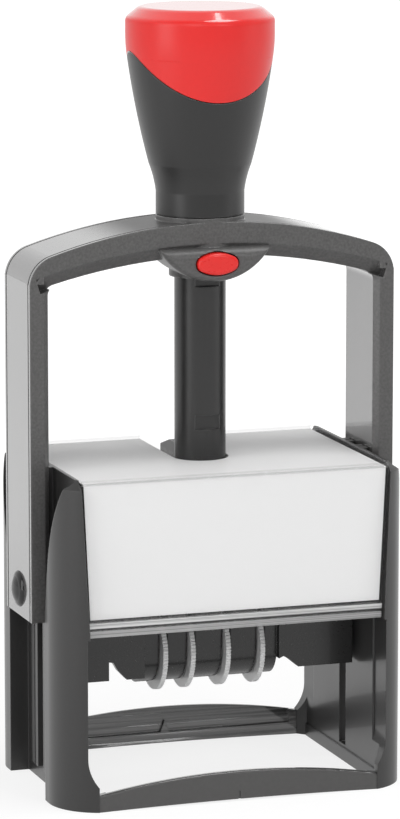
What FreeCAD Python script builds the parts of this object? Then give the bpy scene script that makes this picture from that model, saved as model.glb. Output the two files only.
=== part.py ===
import FreeCAD, Part
import math
import os
import Sketcher
from FreeCAD import Vector

# A self-inking date stamp. Millimetres, Z up, X across the arms, -Y is the front.
# The origin is on the floor, in the middle under the handle.

doc = FreeCAD.newDocument("DateStamp")
sheet = doc.addObject("Spreadsheet::Sheet", "Sizes")


# Sizes that know their formula


class Size:
    """A length with its number now and the formula by which the sheet keeps it."""

    def __init__(self, value, text):
        self.value = value
        self.text = text

    def __add__(self, other):
        return Size(self.value + known(other).value, f"({self.text} + {known(other).text})")

    def __radd__(self, other):
        return known(other) + self

    def __sub__(self, other):
        return Size(self.value - known(other).value, f"({self.text} - {known(other).text})")

    def __rsub__(self, other):
        return known(other) - self

    def __mul__(self, other):
        return Size(self.value * known(other).value, f"({self.text} * {known(other).text})")

    def __rmul__(self, other):
        return self * other

    def __truediv__(self, other):
        return Size(self.value / known(other).value, f"({self.text} / {known(other).text})")

    def __neg__(self):
        return Size(-self.value, f"(0 - {self.text})")


def known(item):
    if isinstance(item, Size):
        return item
    return Size(float(item), repr(item))


def root(item):
    return Size(math.sqrt(item.value), f"sqrt({item.text})")


def arc_cosine(item):
    """The angle whose cosine this is, in radians."""
    return Size(math.acos(item.value), f"(acos({item.text}) / 1 deg * pi / 180)")


def rise(radius, reach):
    """How far an arc of this radius stands above its ends, which lie at plus and minus reach."""
    return radius - root(radius * radius - reach * reach)


def size(name, value):
    row = len(sizes) + 1
    sheet.set(f"A{row}", name.replace("_", " "))
    sheet.set(f"B{row}", str(value))
    sheet.setAlias(f"B{row}", name)
    sizes.append(name)
    return Size(float(value), "Sizes." + name)


sizes = []

# Text plate: the size that the whole machine is built round
plate_width = size("plate_width", 68.0)
plate_depth = size("plate_depth", 49.0)
plate_thickness = size("plate_thickness", 2.0)
plate_reach = size("plate_reach", 9.5)
stroke = size("stroke", 40.0)
total_height = size("total_height", 190.0)

# Base
plate_side_room = size("plate_side_room", 3.6)
plate_end_room = size("plate_end_room", 3.7)
leg_breadth = size("leg_breadth", 6.9)
bar_reach = size("bar_reach", 3.0)
corner_radius = size("corner_radius", 13.0)
opening_corner = size("opening_corner", 2.1)
side_wall = size("side_wall", 2.2)
channel_room = size("channel_room", 4.25)
leg_land = size("leg_land", 5.2)
leg_bevel = size("leg_bevel", 2.2)
leg_gap = size("leg_gap", 0.4)
flare_start = size("flare_start", 36.0)
foot_height = size("foot_height", 6.0)
foot_blend = size("foot_blend", 7.0)
foot_depth = size("foot_depth", 7.0)
bar_setback = size("bar_setback", 0.8)
bar_relief = size("bar_relief", 0.5)
bar_round = size("bar_round", 0.7)
front_bar_end = size("front_bar_end", 4.0)
front_bar_crest = size("front_bar_crest", 7.4)
back_bar_end = size("back_bar_end", 6.3)
back_bar_crest = size("back_bar_crest", 9.7)
ledge_height = size("ledge_height", 3.2)
ledge_step = size("ledge_step", 0.8)
skirt_reach = size("skirt_reach", 0.4)
mark_width = size("mark_width", 1.2)
mark_height = size("mark_height", 2.0)
slot_foot = size("slot_foot", 4.0)
slot_margin = size("slot_margin", 2.5)
rib_wide = size("rib_wide", 2.4)
rib_slim = size("rib_slim", 2.1)
rib_gap = size("rib_gap", 0.6)
rib_height = size("rib_height", 1.4)
arm_clearance = size("arm_clearance", 0.3)
pointer_height = size("pointer_height", 3.1)
mark_depth = size("mark_depth", 0.3)

# Cover and card
cover_foot = size("cover_foot", 7.1)
cover_side_gap = size("cover_side_gap", 0.5)
cover_flare = size("cover_flare", 1.8)
cover_proud = size("cover_proud", 0.1)
cover_wall = size("cover_wall", 0.8)
cover_bend = size("cover_bend", 1.4)
cover_back_drop = size("cover_back_drop", 7.0)
lip_height = size("lip_height", 3.8)
lip_groove = size("lip_groove", 0.35)
notch_clearance = size("notch_clearance", 0.3)
card_thickness = size("card_thickness", 0.3)
card_margin = size("card_margin", 0.5)

# Deck, tube and spring
deck_thickness = size("deck_thickness", 3.0)
deck_gap = size("deck_gap", 0.3)
deck_rib_height = size("deck_rib_height", 5.5)
deck_rib = size("deck_rib", 1.4)
deck_inset = size("deck_inset", 2.4)
brace_half = size("brace_half", 1.2)
brace_drop = size("brace_drop", 2.2)
brace_run = size("brace_run", 7.2)
tube_radius = size("tube_radius", 6.3)
tube_bore = size("tube_bore", 4.7)
tube_rise = size("tube_rise", 1.5)
flange_radius = size("flange_radius", 10.5)
flange_thickness = size("flange_thickness", 1.8)
running_gap = size("running_gap", 0.06)
spring_radius = size("spring_radius", 4.2)
spring_wire = size("spring_wire", 1.0)
spring_turns = size("spring_turns", 13)
screw_radius = size("screw_radius", 1.4)
screw_head = size("screw_head", 2.6)
screw_gap = size("screw_gap", 0.4)
screw_crown = size("screw_crown", 1.2)
screw_tip = size("screw_tip", 0.6)
screw_pitch = size("screw_pitch", 15.0)

# Yoke
arm_depth = size("arm_depth", 21.5)
arm_thickness = size("arm_thickness", 4.9)
arm_foot = size("arm_foot", 6.5)
arch_room = size("arch_room", 18.15)
arch_radius = size("arch_radius", 130.0)
arch_corner = size("arch_corner", 8.0)
arch_height = size("arch_height", 8.4)
under_radius = size("under_radius", 150.0)
inner_corner = size("inner_corner", 2.4)
band_groove = size("band_groove", 0.5)
band_groove_width = size("band_groove_width", 0.7)
band_rim = size("band_rim", 1.1)
arch_face = size("arch_face", 5.1)
arch_undercut = size("arch_undercut", 3.4)
slope_sweep = size("slope_sweep", 34.0)
arm_edge = size("arm_edge", 1.3)
collar_rise = size("collar_rise", 0.9)
collar_radius = size("collar_radius", 10.8)
boss_half = size("boss_half", 14.2)
boss_drop = size("boss_drop", 14.35)
boss_front = size("boss_front", 13.4)
boss_shoulder = size("boss_shoulder", 2.3)
boss_crown = size("boss_crown", 2.4)
boss_round = size("boss_round", 2.2)
sleeve_radius = size("sleeve_radius", 7.6)
sleeve_step = size("sleeve_step", 0.2)

# Handle and cap
handle_gap = size("handle_gap", 0.2)
neck_height = size("neck_height", 5.6)
neck_blend_height = size("neck_blend_height", 6.6)
neck_blend_step = size("neck_blend_step", 1.7)
neck_blend_radius = size("neck_blend_radius", 27.0)
flare_radius = size("flare_radius", 220.0)
flare_lead = size("flare_lead", 0.8)
cap_radius = size("cap_radius", 18.1)
cap_side_drop = size("cap_side_drop", 9.8)
cap_tongue_drop = size("cap_tongue_drop", 22.0)
cap_rim_drop = size("cap_rim_drop", 2.7)
cap_top_radius = size("cap_top_radius", 14.8)
cap_wall = size("cap_wall", 1.8)
cap_round = size("cap_round", 2.2)
shoulder_round = size("shoulder_round", 40.0)
core_step = size("core_step", 1.6)
core_seat = size("core_seat", 4.0)
handle_bore_gap = size("handle_bore_gap", 0.3)
seat_thickness = size("seat_thickness", 2.0)

# Button
button_width = size("button_width", 10.4)
button_height = size("button_height", 5.4)
button_gap = size("button_gap", 0.35)
button_drop = size("button_drop", 9.75)
button_round = size("button_round", 0.9)
button_proud = size("button_proud", 1.1)
button_travel = size("button_travel", 1.5)
pawl_width = size("pawl_width", 5.4)
pawl_height = size("pawl_height", 2.8)
pocket_slack = size("pocket_slack", 0.1)
pocket_margin = size("pocket_margin", 0.35)
head_depth = size("head_depth", 3.7)
stem_gap = size("stem_gap", 0.2)
stem_short = size("stem_short", 0.45)
spring_bow = size("spring_bow", 1.9)
leaf_thickness = size("leaf_thickness", 0.3)
leaf_reach = size("leaf_reach", 3.9)
leaf_height = size("leaf_height", 3.8)

# Axle pins
pin_radius = size("pin_radius", 2.0)
pin_head_radius = size("pin_head_radius", 4.5)
pin_head_height = size("pin_head_height", 1.8)
pin_shoulder = size("pin_shoulder", 3.2)
pin_crown = size("pin_crown", 0.8)
pin_reach = size("pin_reach", 3.4)

# Date unit
unit_gap = size("unit_gap", 1.0)
unit_wall = size("unit_wall", 2.2)
unit_depth = size("unit_depth", 19.0)
unit_drop = size("unit_drop", 22.5)
box_width = size("box_width", 10.1)
notch_depth = size("notch_depth", 4.6)
block_reach = size("block_reach", 22.0)
gap_reach = size("gap_reach", 22.4)
cheek_inner = size("cheek_inner", 17.4)
cheek_wall = size("cheek_wall", 2.4)
carrier_thickness = size("carrier_thickness", 2.5)
web_thickness = size("web_thickness", 1.5)
carrier_inset = size("carrier_inset", 1.0)
holder_inset = size("holder_inset", 0.1)
holder_thickness = size("holder_thickness", 3.0)
type_height = size("type_height", 0.8)
window_depth = size("window_depth", 7.2)
window_room = size("window_room", 1.0)
window_margin = size("window_margin", 0.4)
line_width = size("line_width", 1.0)
line_height = size("line_height", 3.6)
line_space = size("line_space", 1.9)
line_inset = size("line_inset", 6.0)

# Date bands and thumbwheels
wheel_radius = size("wheel_radius", 10.0)
wheel_thickness = size("wheel_thickness", 1.2)
wheel_drop = size("wheel_drop", 17.5)
knurl_count = size("knurl_count", 72)
knurl_depth = size("knurl_depth", 0.32)
drum_radius = size("drum_radius", 5.2)
band_gap = size("band_gap", 0.3)
band_thickness = size("band_thickness", 0.9)
blade_half = size("blade_half", 1.6)
nose_gap = size("nose_gap", 0.1)
nose_radius = size("nose_radius", 2.2)
band_side_gap = size("band_side_gap", 0.35)
axle_radius = size("axle_radius", 1.5)
guard_gap = size("guard_gap", 0.6)
guard_wall = size("guard_wall", 0.8)
wheel_one = size("wheel_one", -12.1)
wheel_two = size("wheel_two", -5.0)
wheel_three = size("wheel_three", 4.1)
wheel_four = size("wheel_four", 13.0)

# Ink pad
pad_gap = size("pad_gap", 0.562)
pad_margin = size("pad_margin", 1.0)
tray_gap = size("tray_gap", 0.25)
tray_thickness = size("tray_thickness", 6.6)
tray_wall = size("tray_wall", 1.6)
pad_thickness = size("pad_thickness", 3.4)
pad_proud = size("pad_proud", 0.9)
runner_width = size("runner_width", 0.7)
runner_height = size("runner_height", 1.4)
grip_drop = size("grip_drop", 4.0)
grip_depth = size("grip_depth", 2.6)

doc.recompute()

# Places worked out from the sizes
half_opening = plate_width / 2 + plate_side_room
half_opening_depth = plate_depth / 2 + plate_end_room
half_width = half_opening + leg_breadth
half_depth = half_opening_depth + bar_reach
seam = half_opening - opening_corner
channel_floor = half_opening + side_wall
rib_top = channel_floor + rib_height
arm_inner = rib_top + arm_clearance
arm_outer = arm_inner + arm_thickness
arm_half = arm_depth / 2
axle_height = stroke + plate_reach
slot_half = pin_radius + arm_clearance
unit_half = half_opening - unit_gap
unit_half_depth = unit_depth / 2
wheel_height = axle_height - wheel_drop
plate_face = axle_height + plate_reach


def corner_rise():
    """How far the plate's edge rises above its rest height as the unit starts to turn."""
    travel = stroke / math.pi
    swing = root(plate_depth * plate_depth / 4 + plate_reach * plate_reach)
    steepest = arc_cosine(travel / swing)
    at_rest = arc_cosine(plate_depth / 2 / swing)
    return root(swing * swing - travel * travel) - travel * (steepest - at_rest) - plate_reach


pad_face = plate_face + corner_rise() + pad_gap
tray_foot = pad_face + pad_proud
tray_top = tray_foot + tray_thickness
deck_floor = tray_top + deck_gap
deck_top = deck_floor + deck_thickness
cover_top = deck_top + deck_rib_height
cover_bottom = axle_height - cover_foot
cover_half = half_opening_depth + cover_proud
cover_half_low = half_opening - cover_side_gap
cover_half_high = cover_half_low + cover_flare
card_under = cover_top - cover_wall - card_thickness
side_height = cover_top
arm_bottom = axle_height - arm_foot
arch_top = cover_top + stroke + arch_room
collar_top = arch_top + collar_rise
tube_top = arch_top + tube_rise
boss_bottom = arch_top - boss_drop
button_level = arch_top - button_drop
button_face = boss_front + button_proud
head_back = button_face - head_depth
ledge_depth = head_back - spring_bow


# Drawing helpers


def body(name):
    part = doc.addObject("PartDesign::Body", name)
    part.Label = name
    return part


def sketch(part, plane, lift=0, across=0, up=0):
    """A sketch on the body's own origin plane. An XZ sketch faces the front, -Y."""
    drawing = part.newObject("Sketcher::SketchObject", "drawing")
    faces = [item for item in part.Origin.OriginFeatures if item.Role == plane + "_Plane"]
    drawing.AttachmentSupport = [(faces[0], "")]
    drawing.MapMode = "FlatFace"
    drawing.setExpression("AttachmentOffset.Base.x", known(across).text)
    drawing.setExpression("AttachmentOffset.Base.y", known(up).text)
    drawing.setExpression("AttachmentOffset.Base.z", known(lift).text)
    return drawing


def hold(drawing, kind, places, value):
    """Adds one dimension to a sketch and binds it to its formula."""
    number = drawing.addConstraint(Sketcher.Constraint(kind, *places, known(value).value))
    drawing.setExpression(f"Constraints[{number}]", known(value).text)


def curved(start, end, radius, side):
    """The short arc between two points that swells to the left (1) or right (-1) of its chord."""
    chord = end - start
    left = Vector(-chord.y, chord.x, 0).normalize()
    depth = math.sqrt(max(radius * radius - chord.Length * chord.Length / 4, 0))
    centre = (start + end) * 0.5 - left * depth * side
    first, last = (end, start) if side > 0 else (start, end)
    low = math.atan2(first.y - centre.y, first.x - centre.x)
    high = math.atan2(last.y - centre.y, last.x - centre.x)
    if high < low:
        high += 2 * math.pi
    return Part.ArcOfCircle(Part.Circle(centre, Vector(0, 0, 1), radius), low, high)


def outline(drawing, *corners):
    """Draws a closed run. Each corner is (x, y), or (x, y, radius, side) if an arc leads to it."""
    places = [Vector(known(item[0]).value, known(item[1]).value, 0) for item in corners]
    ends = []
    for number, item in enumerate(corners):
        start, end = places[number - 1], places[number]
        if len(item) == 2:
            edge = drawing.addGeometry(Part.LineSegment(start, end), False)
            ends.append((edge, 1, 2))
        else:
            arc = curved(start, end, known(item[2]).value, item[3])
            edge = drawing.addGeometry(arc, False)
            ends.append((edge, 2, 1) if item[3] > 0 else (edge, 1, 2))
    for number, item in enumerate(corners):
        edge, first, last = ends[number]
        after, after_first, after_last = ends[(number + 1) % len(ends)]
        drawing.addConstraint(Sketcher.Constraint("Coincident", edge, last, after, after_first))
        hold(drawing, "DistanceX", (-1, 1, edge, last), item[0])
        hold(drawing, "DistanceY", (-1, 1, edge, last), item[1])
        if len(item) > 2:
            hold(drawing, "Radius", (edge,), item[2])


def ring(drawing, across, up, radius):
    centre = Vector(known(across).value, known(up).value, 0)
    circle = Part.Circle(centre, Vector(0, 0, 1), known(radius).value)
    edge = drawing.addGeometry(circle, False)
    hold(drawing, "DistanceX", (-1, 1, edge, 3), across)
    hold(drawing, "DistanceY", (-1, 1, edge, 3), up)
    hold(drawing, "Radius", (edge,), radius)


def block(drawing, left, right, low, high):
    outline(drawing, (left, low), (right, low), (right, high), (left, high))


def grown(part, kind, drawing, length, both=False, flip=False):
    """A pad or pocket of a sketch, checked to have changed the solid."""
    feature = part.newObject("PartDesign::" + kind, kind.lower())
    feature.Profile = drawing
    feature.setExpression("Length", known(length).text)
    feature.Midplane = both
    feature.Reversed = flip
    return settled(part, feature)


def pad(part, drawing, length, both=False, flip=False):
    return grown(part, "Pad", drawing, length, both, flip)


def pocket(part, drawing, length, both=False, flip=False):
    return grown(part, "Pocket", drawing, length, both, flip)


def turned(part, kind, drawing, axis="V_Axis", angle=360, both=False):
    """A revolution or groove of a sketch about one of its axes."""
    feature = part.newObject("PartDesign::" + kind, kind.lower())
    feature.Profile = drawing
    feature.ReferenceAxis = (drawing, [axis])
    feature.setExpression("Angle", known(angle).text)
    feature.Midplane = both
    return settled(part, feature)


def settled(part, feature):
    before = feature.BaseFeature.Shape.Volume if feature.BaseFeature else 0
    doc.recompute()
    if abs(feature.Shape.Volume - before) < 1e-3:
        raise ValueError(f"{part.Label}: {feature.Label} changes nothing")
    if not feature.Shape.isValid():
        raise ValueError(f"{part.Label}: {feature.Label} is not sound")
    return feature


def dressed(part, kind, value, chosen):
    """A fillet or chamfer on the edges for which chosen(edge) is true."""
    base = part.Tip
    names = [f"Edge{number + 1}" for number, edge in enumerate(base.Shape.Edges) if chosen(edge)]
    if not names:
        raise ValueError(f"{part.Label}: no edge to {kind}")
    feature = part.newObject("PartDesign::" + kind, kind.lower())
    feature.Base = (base, names)
    prop = "Radius" if kind == "Fillet" else "Size"
    feature.setExpression(prop, known(value).text)
    return settled(part, feature)


def repeated(part, feature, drawing, count):
    """Repeats a feature around the sketch's own normal."""
    pattern = part.newObject("PartDesign::PolarPattern", "pattern")
    pattern.Originals = [feature]
    pattern.Axis = (drawing, ["N_Axis"])
    pattern.Angle = 360
    pattern.setExpression("Occurrences", known(count).text)
    part.Tip = pattern
    return settled(part, pattern)


def flipped(source, name):
    """The same piece on the other side of the machine."""
    copy = doc.addObject("Part::Mirroring", name)
    copy.Label = name
    copy.Source = source
    copy.Normal = Vector(1, 0, 0)
    doc.recompute()
    return copy


def along(edge, direction):
    """True if the edge is a straight one in this direction."""
    ends = edge.Vertexes
    if len(ends) < 2 or edge.Curve.TypeId != "Part::GeomLine":
        return False
    run = ends[1].Point - ends[0].Point
    return abs(abs(run.normalize().dot(direction)) - 1) < 1e-6


def near(value, place):
    return abs(value - known(place).value) < 1e-3


nodes = []


def keep(part):
    nodes.append(part)
    return part


# Side frame: two legs and the wall between them, one moulding, here the right one.
# Its channel takes the yoke's arm, and its slot lets the axle pin through.


def make_side_frame():
    part = body("right_side_frame")
    plan = sketch(part, "XY")
    arc_across = half_width - corner_radius
    seam_reach = seam - arc_across
    seam_depth = half_depth - rise(corner_radius, seam_reach)
    outline(
        plan,
        (seam, -seam_depth),
        (half_width, corner_radius - half_depth, corner_radius, -1),
        (half_width, half_depth - corner_radius),
        (seam, seam_depth, corner_radius, -1),
        (seam, half_opening_depth),
        (half_opening, half_opening_depth - opening_corner),
        (half_opening, opening_corner - half_opening_depth),
        (seam, -half_opening_depth),
    )
    pad(part, plan, side_height)

    # The channel flares forwards and backwards as it rises.
    channel = sketch(part, "YZ", lift=channel_floor)
    edge = arm_half + channel_room
    wide = half_depth - leg_land
    tall = side_height - flare_start
    flare = wide - edge
    sweep = (tall * tall + flare * flare) / (2 * flare)
    outline(
        channel,
        (-edge, -1),
        (edge, -1),
        (edge, flare_start),
        (wide, side_height, sweep, 1),
        (wide, side_height + 1),
        (-wide, side_height + 1),
        (-wide, side_height),
        (-edge, flare_start, sweep, 1),
    )
    pocket(part, channel, half_width, flip=True)

    # The legs' inner edges stand clear of the cover above and of the opening below.
    inside = seam - opening_corner
    cover_line = cover_bottom - notch_clearance
    behind_cover = half_depth + 1 - (cover_half - cover_wall - 4 * card_thickness)
    behind_foot = half_depth + 1 - (half_opening_depth - foot_depth)
    foot_reach = half_opening + leg_gap - seam
    foot_sweep = (foot_reach * foot_reach + foot_blend * foot_blend) / (2 * foot_reach)
    for place, turn in ((half_depth + 1, False), (-half_depth - 1, True)):
        edges = sketch(part, "XZ", lift=place)
        outline(
            edges,
            (inside, cover_line),
            (cover_half_low + notch_clearance, cover_line),
            (cover_half_high + notch_clearance, cover_top),
            (inside, cover_top),
        )
        pocket(part, edges, behind_cover, flip=turn)
        foot = sketch(part, "XZ", lift=place)
        outline(
            foot,
            (inside, foot_height),
            (seam, foot_height),
            (half_opening + leg_gap, foot_height + foot_blend, foot_sweep, -1),
            (half_opening + leg_gap, cover_line),
            (inside, cover_line),
        )
        pocket(part, foot, behind_foot, flip=turn)

    # The cover and its card lie over a rebate along the wall's top.
    cover_inside = cover_half - cover_wall
    rebate = sketch(part, "XZ", lift=cover_inside)
    block(rebate, inside, cover_half_high + notch_clearance / 2, card_under - notch_clearance, side_height + 1)
    pocket(part, rebate, 2 * cover_inside)

    # Guide ribs beside the slot, up to the arm's inner face.
    ribs = sketch(part, "YZ", lift=channel_floor)
    first = slot_half + rib_slim
    second = first + rib_gap
    for side in (-1, 1):
        inner_pair = sorted((side * slot_half, side * first), key=lambda item: item.value)
        outer_pair = sorted((side * second, side * (second + rib_wide)), key=lambda item: item.value)
        block(ribs, inner_pair[0], inner_pair[1], slot_foot, side_height)
        block(ribs, outer_pair[0], outer_pair[1], slot_foot, side_height)
    pad(part, ribs, rib_height)

    slot = sketch(part, "YZ", lift=half_opening - 1)
    block(slot, -slot_half, slot_half, slot_foot, axle_height + pin_radius + slot_margin)
    pocket(part, slot, side_wall + 2, flip=True)

    # Runner for the ink pad tray, on the wall's inner face.
    runner = sketch(part, "XZ", lift=half_opening_depth - opening_corner)
    top = pad_face + pad_proud - tray_gap
    outline(
        runner,
        (half_opening, top - runner_height - runner_width),
        (half_opening - runner_width, top - runner_height),
        (half_opening - runner_width, top),
        (half_opening, top),
    )
    pad(part, runner, 2 * (half_opening_depth - opening_corner), flip=True)
    skirt = sketch(part, "YZ", lift=half_opening - skirt_reach)
    skirt_half = half_opening_depth - opening_corner
    block(skirt, -skirt_half, skirt_half, 0, ledge_height)
    pad(part, skirt, skirt_reach + side_wall / 2)
    dressed(part, "Chamfer", leg_bevel, is_leg_top)
    return part


def is_leg_top(edge):
    """The legs' outer rims, where the top meets the rounded corners."""
    middle = edge.valueAt((edge.FirstParameter + edge.LastParameter) / 2)
    return near(middle.z, side_height) and edge.Curve.TypeId == "Part::GeomCircle"


right_side_frame = keep(make_side_frame())
left_side_frame = keep(flipped(right_side_frame, "left_side_frame"))


# Bars: thin arched walls that close the base at the front and back.


def make_bar(name, end_height, crest, front):
    part = body(name)
    face = half_depth - bar_setback
    arched = sketch(part, "XZ", lift=face if front else bar_setback - half_depth)
    swell = crest - end_height
    top_radius = (seam * seam + swell * swell) / (2 * swell)
    foot_radius = (seam * seam + bar_relief * bar_relief) / (2 * bar_relief)
    outline(
        arched,
        (-seam, 0),
        (seam, 0, foot_radius, 1),
        (seam, end_height),
        (-seam, end_height, top_radius, -1),
    )
    depth = face - half_opening_depth
    pad(part, arched, depth, flip=front)
    outer = face if front else -face
    dressed(part, "Fillet", bar_round, lambda edge: is_top_rim(edge, top_radius, outer))
    step = sketch(part, "XZ", lift=half_opening_depth if front else -half_opening_depth)
    ledge_end = seam - opening_corner
    block(step, -ledge_end, ledge_end, ledge_height, crest + 1)
    pocket(part, step, ledge_step, flip=front)
    mark = sketch(part, "XZ", lift=outer)
    block(mark, -mark_width / 4, mark_width / 4, bar_relief, bar_relief + mark_height)
    pocket(part, mark, mark_depth, flip=not front)
    pointer = sketch(part, "XZ", lift=(half_opening_depth + ledge_step) * (1 if front else -1))
    outline(
        pointer,
        (-mark_width, ledge_height),
        (mark_width, ledge_height),
        (0, ledge_height + pointer_height),
    )
    pad(part, pointer, ledge_step, flip=front)
    return part


def is_top_rim(edge, radius, outer):
    """The bar's arched upper edge on its outer face."""
    if edge.Curve.TypeId != "Part::GeomCircle" or not near(edge.Curve.Radius, radius):
        return False
    return near(edge.CenterOfMass.y, -outer)


front_bar = keep(make_bar("front_bar", front_bar_end, front_bar_crest, True))
back_bar = keep(make_bar("back_bar", back_bar_end, back_bar_crest, False))


# Clear cover: one bent sheet over the front, top and back, slotted from the back for the tube.


def add_notch(part, reach, level):
    """The slot that lets the cover and card slide past the tube."""
    notch = sketch(part, "XY", lift=level)
    outline(
        notch,
        (reach, 0, reach, -1),
        (reach, half_depth),
        (-reach, half_depth),
        (-reach, 0),
        (0, -reach, reach, -1),
    )
    pocket(part, notch, cover_top - cover_bottom / 2)


def trim_sides(part, margin):
    """Leans the cover's or card's side edges in towards the foot."""
    trim = sketch(part, "XZ")
    high = cover_half_high - margin
    low = cover_half_low - margin
    for side in (-1, 1):
        outline(
            trim,
            (side * high, cover_top),
            (side * (high + 1), cover_top),
            (side * (high + 1), cover_bottom - 1),
            (side * low, cover_bottom - 1),
            (side * low, cover_bottom),
        )
    pocket(part, trim, 2 * half_depth, both=True)


def make_clear_cover():
    part = body("clear_cover")
    half = cover_half
    inner = half - cover_wall
    ceiling = cover_top - cover_wall
    inner_bend = cover_bend - cover_wall
    back_foot = cover_top - cover_back_drop
    groove_one = cover_bottom + lip_height
    groove_two = cover_bottom + lip_height / 2
    profile = sketch(part, "YZ")
    outline(
        profile,
        (-half, cover_bottom),
        (-inner, cover_bottom),
        (-inner, ceiling - inner_bend),
        (inner_bend - inner, ceiling, inner_bend, 1),
        (inner - inner_bend, ceiling),
        (inner, ceiling - inner_bend, inner_bend, 1),
        (inner, back_foot),
        (half, back_foot),
        (half, cover_top - cover_bend),
        (half - cover_bend, cover_top, cover_bend, -1),
        (cover_bend - half, cover_top),
        (-half, cover_top - cover_bend, cover_bend, -1),
        (-half, groove_one + lip_groove),
        (lip_groove - half, groove_one),
        (-half, groove_one - lip_groove),
        (-half, groove_two + lip_groove),
        (lip_groove - half, groove_two),
        (-half, groove_two - lip_groove),
    )
    pad(part, profile, 2 * cover_half_high, both=True)
    trim_sides(part, 0)
    add_notch(part, tube_radius + notch_clearance, cover_top + 1)
    return part


clear_cover = keep(make_clear_cover())


# Index card: white card bent once, held under the cover's front and top.


def make_index_card():
    part = body("index_card")
    outer = cover_half - cover_wall
    inner = outer - card_thickness
    ceiling = cover_top - cover_wall
    bend = cover_bend - cover_wall
    foot = cover_bottom + lip_height + lip_groove
    profile = sketch(part, "YZ")
    outline(
        profile,
        (-outer, foot),
        (-inner, foot),
        (-inner, ceiling - bend),
        (bend - outer, ceiling - card_thickness, bend - card_thickness, 1),
        (inner - bend, ceiling - card_thickness),
        (inner - bend, ceiling),
        (bend - outer, ceiling),
        (-outer, ceiling - bend, bend, -1),
    )
    pad(part, profile, 2 * (cover_half_high - card_margin), both=True)
    trim_sides(part, card_margin)
    add_notch(part, tube_radius + 2 * notch_clearance, cover_top + 1)
    return part


index_card = keep(make_index_card())


# Top deck: the bridge that ties the side frames and carries the guide tube.

deck_half = half_opening
deck_reach = half_opening_depth - opening_corner - deck_inset


def make_deck():
    part = body("top_deck")
    plate = sketch(part, "XY", lift=deck_floor)
    block(plate, -deck_half, deck_half, -deck_reach, deck_reach)
    pad(part, plate, deck_thickness)
    ribs = sketch(part, "XY", lift=deck_top)
    for side in (-1, 1):
        inner, outer = deck_reach - deck_rib, deck_reach
        low, high = (-outer, -inner) if side < 0 else (inner, outer)
        block(ribs, -deck_half, -deck_half / 3, low, high)
        block(ribs, deck_half / 3, deck_half, low, high)
    pad(part, ribs, card_under - deck_top)
    screws = sketch(part, "XY", lift=deck_top)
    for across in (-screw_pitch / 2, screw_pitch / 2):
        for deep in (-screw_pitch / 2, screw_pitch / 2):
            ring(screws, across, deep, screw_radius)
    pocket(part, screws, deck_thickness)

    # A brace behind the tube stands in the cover's slot and slopes down to the back.
    brace = sketch(part, "YZ")
    back = half_opening_depth - notch_clearance
    outline(
        brace,
        (flange_radius + notch_clearance, deck_floor),
        (deck_reach, deck_floor),
        (back, deck_top),
        (back, cover_top - notch_clearance - brace_drop),
        (back - brace_run, cover_top - notch_clearance),
        (flange_radius + notch_clearance, cover_top - notch_clearance),
    )
    pad(part, brace, 2 * brace_half, both=True)
    return part


top_deck = keep(make_deck())


# Guide tube: flanged at its foot, with the lock pockets on its front.


def make_guide_tube():
    part = body("guide_tube")
    profile = sketch(part, "XZ")
    outline(
        profile,
        (0, deck_top),
        (flange_radius, deck_top),
        (flange_radius, deck_top + flange_thickness),
        (tube_radius, deck_top + flange_thickness),
        (tube_radius, tube_top - 1),
        (tube_radius - 1, tube_top),
        (tube_bore, tube_top),
        (tube_bore, deck_top + flange_thickness),
        (0, deck_top + flange_thickness),
    )
    turned(part, "Revolution", profile)
    screws = sketch(part, "XY", lift=deck_top + flange_thickness)
    for across in (-screw_pitch / 2, screw_pitch / 2):
        for deep in (-screw_pitch / 2, screw_pitch / 2):
            ring(screws, across, deep, screw_radius)
    pocket(part, screws, flange_thickness)
    pockets = sketch(part, "XZ", lift=tube_radius + 1)
    half = pawl_width / 2 + pocket_margin
    reach = pawl_height / 2 + pocket_margin
    locked = button_level - stroke
    block(pockets, -half, half, locked - reach, locked + reach)
    block(pockets, -half, half, boss_bottom - 2, button_level + reach)
    pocket(part, pockets, button_travel - stem_short + pocket_slack + 1)
    return part


guide_tube = keep(make_guide_tube())


# Deck screws: four pan heads through the tube's flange.


def make_deck_screws():
    part = body("deck_screws")
    top = deck_top + flange_thickness
    screw_length = flange_thickness + deck_thickness - screw_gap
    shank = screw_radius - running_gap
    profile = sketch(part, "XZ", lift=screw_pitch / 2, across=screw_pitch / 2)
    part.AllowCompound = True
    outline(
        profile,
        (0, top + screw_crown),
        (0, top - screw_length),
        (shank - screw_tip, top - screw_length),
        (shank, top - screw_length + screw_tip),
        (shank, top),
        (screw_head, top),
        (screw_head, top + screw_tip),
        (screw_head - screw_tip, top + screw_crown, screw_crown - screw_tip, -1),
    )
    first = turned(part, "Revolution", profile)
    around = sketch(part, "XY")
    ring(around, 0, 0, screw_pitch)
    repeated(part, first, around, 4)
    return part


deck_screws = keep(make_deck_screws())


# Yoke: arch, two arms, button boss and collar in one moulding.


def arch_lines(inset):
    """Where the arch's outer outline turns from arm to corner to arch, drawn in by inset."""
    side = arm_outer - inset
    corner = arch_corner - inset
    big = arch_radius - inset
    low = arch_top - arch_radius
    middle = side - corner
    reach = big - corner
    lift = root(reach * reach - middle * middle)
    corner_height = low + lift
    meet_across = middle * (big / reach)
    meet_up = low + lift * (big / reach)
    return side, corner, big, corner_height, meet_across, meet_up


def draw_outer(drawing, inset, foot):
    side, corner, big, corner_height, meet_across, meet_up = arch_lines(inset)
    outline(
        drawing,
        (-side, foot),
        (side, foot),
        (side, corner_height),
        (meet_across, meet_up, corner, -1),
        (-meet_across, meet_up, big, -1),
        (-side, corner_height, corner, -1),
    )


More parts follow.
